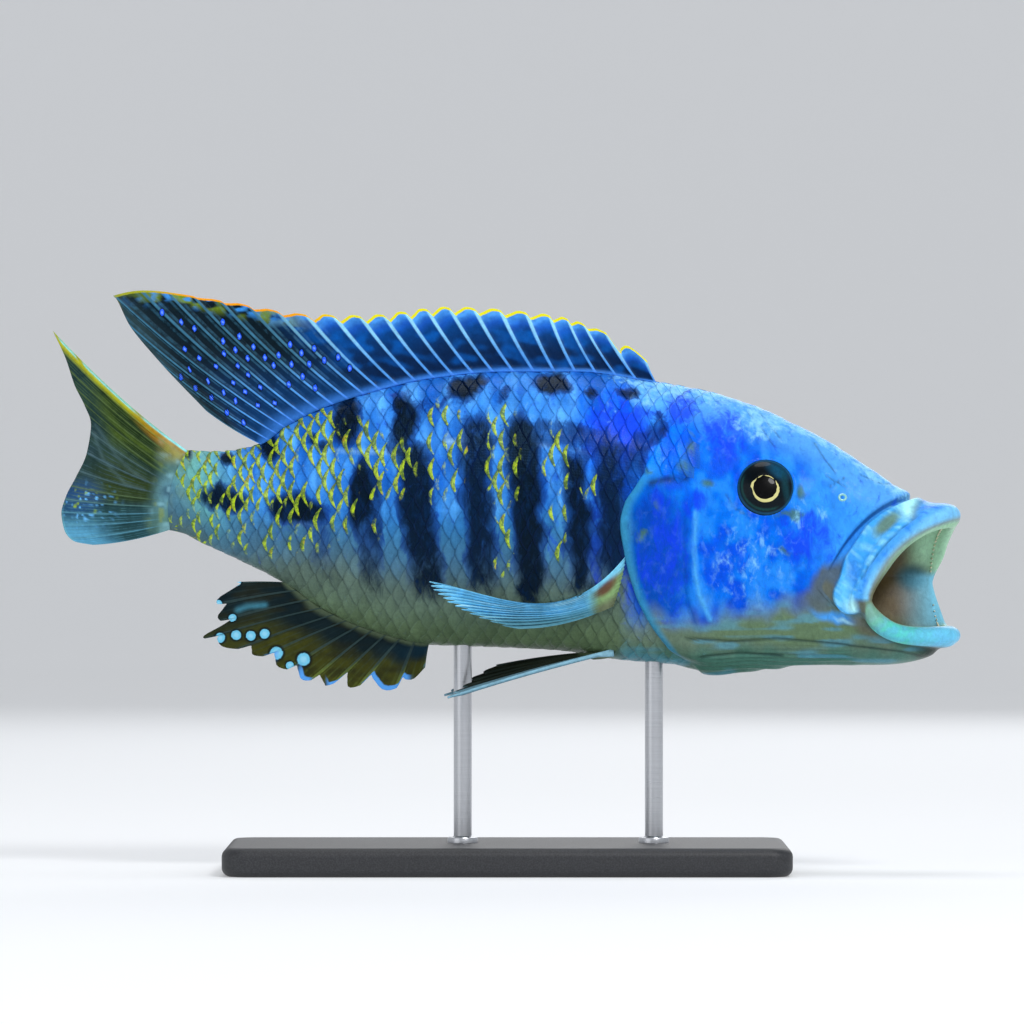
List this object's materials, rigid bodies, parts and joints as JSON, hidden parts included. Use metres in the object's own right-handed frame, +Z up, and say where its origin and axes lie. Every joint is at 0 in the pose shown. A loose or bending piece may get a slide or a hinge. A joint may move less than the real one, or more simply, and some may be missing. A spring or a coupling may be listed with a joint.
{
  "type": "fish display model",
  "caption": "Life-size still model of a blue male Lake Malawi cichlid with its mouth wide open, held on two rods over a flat plate.",
  "frame": {"origin": "middle of the underside of the stand's plate, which is also the bottom middle of the whole model's box", "axes": "+X from the tail to the open mouth, along the fish; +Y to the fish's left, away from the picture's camera; +Z up"},
  "size_m": [0.2508, 0.084, 0.1609],
  "materials": {
    "head": "wet blue skin, light on the nape, grey-green under the jaw",
    "gill_cover": "wet deep blue skin with small dark green flecks",
    "lips": "smooth wet light-blue skin",
    "eyes": "clear and glossy over a dark iris with a thin gold ring",
    "flank": "overlapping scales, blue with black bars and yellow-green edges, dark grey-green belly",
    "tail_stalk": "overlapping scales, pale blue and green with black blotches",
    "dorsal_fin": "dark blue membrane with light-blue rays and a yellow edge",
    "anal_fin": "black and olive membrane with pale-blue spots",
    "tail_fin": "olive membrane with fine rays, pale blue along its lower edge",
    "pectoral_fins": "thin light-blue membrane with fine rays",
    "pelvic_fins": "black membrane with a pale leading edge",
    "stand_base": "dark grey painted plate with rounded edges",
    "stand_rods": "plain steel rod"
  },
  "bodies": {
    "root": {"head": "head", "gill_cover_right": "gill_cover", "gill_cover_left": "gill_cover", "upper_jaw": "lips", "lower_jaw": "lips", "eye_right": "eyes", "eye_left": "eyes", "trunk_front": "flank", "trunk_rear": "flank", "tail_stalk": "tail_stalk", "dorsal_fin": "dorsal_fin", "anal_fin": "anal_fin", "caudal_fin": "tail_fin", "pectoral_fin_right": "pectoral_fins", "pectoral_fin_left": "pectoral_fins", "pelvic_fin_right": "pelvic_fins", "pelvic_fin_left": "pelvic_fins", "stand_base": "stand_base", "stand_rod_front": "stand_rods", "stand_rod_rear": "stand_rods"}
  },
  "joints": []
}
